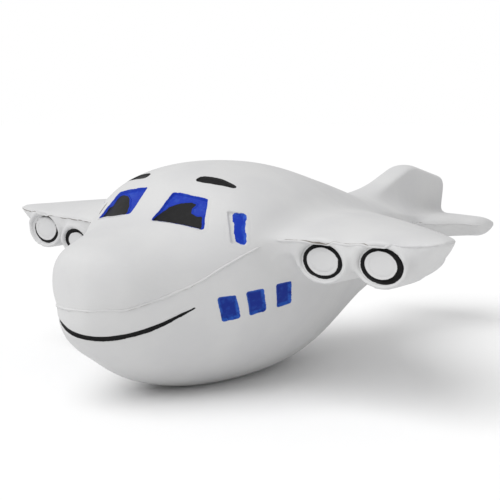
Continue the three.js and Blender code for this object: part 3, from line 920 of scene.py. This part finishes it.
for hand, side in (("left", 1), ("right", -1)):
    windscreen = WINDSCREEN_CORNERS[hand]
    paint_panel(f"windscreen_{hand}", WINDSCREEN, windscreen, side, blue_paint, "blue_paint", seed=1)
    paint_pupil(f"pupil_{hand}", windscreen, PUPIL_CORNERS[hand], side)
    paint_panel(
        f"eyebrow_{hand}", EYEBROW, EYEBROW_CORNERS, side, black_paint, "black_paint",
        depth=EYEBROW_DEPTH, ragged=EYEBROW_RAGGED, seed=3,
    )
    paint_panel(
        f"cockpit_side_window_{hand}", SIDE_WINDOW, SIDE_WINDOW_CORNERS, side, blue_paint, "blue_paint",
        ragged=SIDE_WINDOW_RAGGED, painted=SIDE_WINDOW_PAINT, painted_highlight=0.6, seed=5,
    )
    for number, (centre, heading) in enumerate(CABIN_WINDOWS, 1):
        paint_panel(
            f"cabin_window_{hand}_{number}", (centre, heading, CABIN_ABOVE), CABIN_CORNERS, side,
            dark_blue_paint, "dark_blue_paint", painted_highlight=1.0, seed=6 + 2 * number,
        )
for key, (centre, size) in NACELLES.items():
    paint_ring("engine_ring_{}_{}".format(*key), centre, size, *RING_PAINT[key])
paint_smile()

# ---- The mould's parting line ----

RIDGE_RADIUS = 0.24
RIDGE_LEAST = 0.01
RIDGE_SIDES = 10
RIDGE_STEP = 0.3
RIDGE_TAPER = 2.0
RIDGE_SINK = 0.05
RIDGE_WANDER = 0.12
SETTLING_STEPS = 8
SETTLING_SHARE = 0.7
DARK_SIDE_TURN = 0.9  # radians that the dark side is turned round the bead, from its underside; the dark is partly cracks and partly painted shadow
WING_ROOT_Y = -38.5  # where the fuselage's own parting line ends and the wing's begins
WING_ROOT_X = 23.5
TAILPLANE_ROOT_X = 6.0
CREASE_ENDS = [[6.2, 0.5], [4.0, -4.7]]
CREASE_RADIUS = 0.16
# Dark all along the bead's underside: for the crease beside the windscreen, this is painted shadow of the
# crease.
DARK_ALL_ALONG = -2.0


def ridge(name, line, seed, sound, thickness=RIDGE_RADIUS):
    """A thin bead along a line on the skin, dark in places on its underside: cracks and painted shadow.

    The higher sound is, from -1 to 1, the less of the bead is dark.
    """
    line = np.asarray(line, float)
    for _ in range(SETTLING_STEPS):
        line = line - sampled(skin, line)[:, None] * slope(skin, line) * SETTLING_SHARE
    walked = walked_along(line)
    even = np.arange(0, walked[-1], RIDGE_STEP)
    line = np.stack([np.interp(even, walked, line[:, k]) for k in range(3)], axis=-1)
    outward = slope(skin, line)
    along = unit(np.gradient(line, axis=0))
    across = unit(np.cross(along, outward))
    taper = smooth_step(np.minimum(even, even[-1] - even), 0.0, RIDGE_TAPER)
    uneven = 1 + wandering(line, (1.6, 0.35), (0.5, 0.2), seed)
    radius = thickness * uneven * taper + RIDGE_LEAST
    wander = RIDGE_WANDER * ripple(line, 2.2, seed + 2)
    centre = line + across * wander[:, None] - outward * RIDGE_SINK
    angle = np.linspace(0, 2 * math.pi, RIDGE_SIDES, endpoint=False)
    rings = (
        centre[:, None]
        + (radius[:, None] * np.cos(angle))[..., None] * across[:, None]
        + (radius[:, None] * np.sin(angle))[..., None] * outward[:, None]
    )
    stretches = smooth_step(ripple(line, 5.0, seed + 3), sound, sound + 0.2)
    breaks = smooth_step(ripple(line, 1.1, seed + 4), sound - 0.3, sound)
    # Only the underside is darkened, where shade falls under the bead: painted shadow, together with cracks.
    beneath = smooth_step(-np.sin(angle + DARK_SIDE_TURN), -0.3, 0.3)
    crack = (stretches * breaks)[:, None] * beneath[None, :]
    index = np.arange(len(line) * RIDGE_SIDES).reshape(-1, RIDGE_SIDES)
    turned = np.roll(index, -1, axis=1)
    faces = np.stack([index[:-1], turned[:-1], turned[1:], index[1:]], axis=-1).reshape(-1, 4).tolist()
    faces += [index[0, ::-1].tolist(), index[-1].tolist()]
    return new_piece(name, rings.reshape(-1, 3), faces, ridge_foam, "white_foam", crack=crack)


def nose_line():
    """The rim from the left wing's root, round the nose, to the right wing's root."""
    rows = read_stations(FUSELAGE_STATIONS, 400)
    rows = rows[rows[:, 0] < WING_ROOT_Y]
    left = np.stack([rows[:, 5], rows[:, 0], rows[:, 3]], axis=-1)
    return np.vstack([left[::-1], left[1:] * [-1, 1, 1]])


def edge_line(stations, from_x, side):
    """The leading edge of a wing or a tailplane, from where it leaves the fuselage to its tip."""
    rows = read_stations(stations, 120)
    rows = rows[rows[:, 0] > from_x]
    return np.stack([side * rows[:, 0], rows[:, 1], rows[:, 3]], axis=-1)


def crease_line():
    """A flaw in the moulding beside the right windscreen, drawn in that panel's plane."""
    centre, axes = panel_place(WINDSCREEN, -1)
    u, v = np.linspace(*CREASE_ENDS, 30).T
    return centre + u[:, None] * axes[0] + v[:, None] * axes[1]


ridge("parting_line_nose", nose_line(), seed=41, sound=0.3)
for hand, side in (("left", 1), ("right", -1)):
    wing_edge = edge_line(WING_STATIONS, WING_ROOT_X, side)
    ridge(f"parting_line_wing_{hand}", wing_edge, seed=51, sound=-0.25)
    tail_edge = edge_line(TAILPLANE_STATIONS, TAILPLANE_ROOT_X, side)
    ridge(f"parting_line_tailplane_{hand}", tail_edge, seed=61, sound=0.1)
ridge(
    "crease_beside_windscreen_right", crease_line(), seed=71,
    sound=DARK_ALL_ALONG, thickness=CREASE_RADIUS,
)

# ---- The moulding's mesh ----

grid = openvdb.FloatGrid()
grid.copyFromArray(body.astype(np.float64), ijk=tuple(int(i) for i in FIRST))
grid.transform = openvdb.createLinearTransform(voxelSize=VOXEL)
points, quads = grid.convertToQuads(isovalue=0.0)
points = points.astype(float)
for _ in range(2):
    points = points - sampled(body, points)[:, None] * slope(body, points, VOXEL / 2) * STEP_SHARE
a, b, c = (points[quads[:, k].astype(int)] for k in range(3))
if (np.cross(b - a, c - a) * slope(body, a)).sum() < 0:
    quads = quads[:, ::-1]
foam = new_piece("foam_moulding", points, quads, white_foam, "white_foam")
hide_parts("foam_body")

# ---- Studio ----

PALE = (0.96, 0.96, 0.96, 1)
FLOOR_RADIUS = 6.0  # metres
FLOOR_SIDES = 64
AMBIENT = 0.61
BACKDROP = 1.0
WHITE = (1, 1, 1, 1)
SUN_TOWARDS = (-0.25, -0.80, 1.25)
SUN_STRENGTH = 1.75
SUN_SPREAD = 60


def floor_material():
    nodes = Nodes("pale_floor")
    nodes.shader.inputs["Base Color"].default_value = PALE
    nodes.shader.inputs["Roughness"].default_value = 0.9
    nodes.shader.inputs["Specular IOR Level"].default_value = 0.1
    return nodes.material


def lay_floor():
    angles = np.linspace(0, 2 * math.pi, FLOOR_SIDES, endpoint=False)
    rim = [(FLOOR_RADIUS * math.cos(angle), FLOOR_RADIUS * math.sin(angle), 0) for angle in angles]
    mesh = bpy.data.meshes.new("floor")
    mesh.from_pydata(rim, [], [list(range(FLOOR_SIDES))])
    mesh.materials.append(floor_material())
    floor = bpy.data.objects.new("floor", mesh)
    bpy.context.scene.collection.objects.link(floor)


def studio_world():
    """Soft white light from all round, and a brighter white where the camera looks past the toy."""
    world = bpy.data.worlds.new("studio")
    world.use_nodes = True
    tree = world.node_tree
    light = tree.nodes["Background"]
    backdrop = tree.nodes.new("ShaderNodeBackground")
    for background, strength in ((light, AMBIENT), (backdrop, BACKDROP)):
        background.inputs["Color"].default_value = WHITE
        background.inputs["Strength"].default_value = strength
    path = tree.nodes.new("ShaderNodeLightPath")
    mix = tree.nodes.new("ShaderNodeMixShader")
    tree.links.new(path.outputs["Is Camera Ray"], mix.inputs[0])
    tree.links.new(light.outputs[0], mix.inputs[1])
    tree.links.new(backdrop.outputs[0], mix.inputs[2])
    tree.links.new(mix.outputs[0], tree.nodes["World Output"].inputs["Surface"])
    bpy.context.scene.world = world


def soft_sun(name, towards, strength, spread):
    """Light from one side of the sky, even over the whole floor, with a soft shadow."""
    light = bpy.data.lights.new(name, "SUN")
    light.energy = strength
    light.angle = math.radians(spread)
    lamp = bpy.data.objects.new(name, light)
    lamp.rotation_mode = "QUATERNION"
    lamp.rotation_quaternion = Vector(towards).to_track_quat("Z", "Y")
    bpy.context.scene.collection.objects.link(lamp)


lay_floor()
studio_world()
soft_sun("key", SUN_TOWARDS, SUN_STRENGTH, SUN_SPREAD)

# ---- Camera ----

AZIMUTH, ELEVATION, ROLL = (math.radians(angle) for angle in (40.25, 7.17, 0.19))
CAMERA_PLACE = Vector((147.72, -189.59, 53.97)) * MM
FOCAL_SHARE = 2.13468  # focal length over image width
SENSOR = 36.0

camera_data = bpy.data.cameras.new("camera")
camera_data.sensor_width = SENSOR
camera_data.lens = SENSOR * FOCAL_SHARE
camera_data.clip_start = 0.01
camera = bpy.data.objects.new("camera", camera_data)
bpy.context.scene.collection.objects.link(camera)
back = Vector((
    math.sin(AZIMUTH) * math.cos(ELEVATION),
    -math.cos(AZIMUTH) * math.cos(ELEVATION),
    math.sin(ELEVATION),
))
right = (-back).cross(Vector((0, 0, 1))).normalized()
up = right.cross(-back)
x_axis = right * math.cos(ROLL) + up * math.sin(ROLL)
y_axis = up * math.cos(ROLL) - right * math.sin(ROLL)
turn = Matrix((x_axis, y_axis, back)).transposed().to_4x4()
camera.matrix_world = Matrix.Translation(CAMERA_PLACE) @ turn
bpy.context.scene.camera = camera
bpy.context.scene.view_settings.view_transform = "Standard"

bpy.context.view_layer.update()
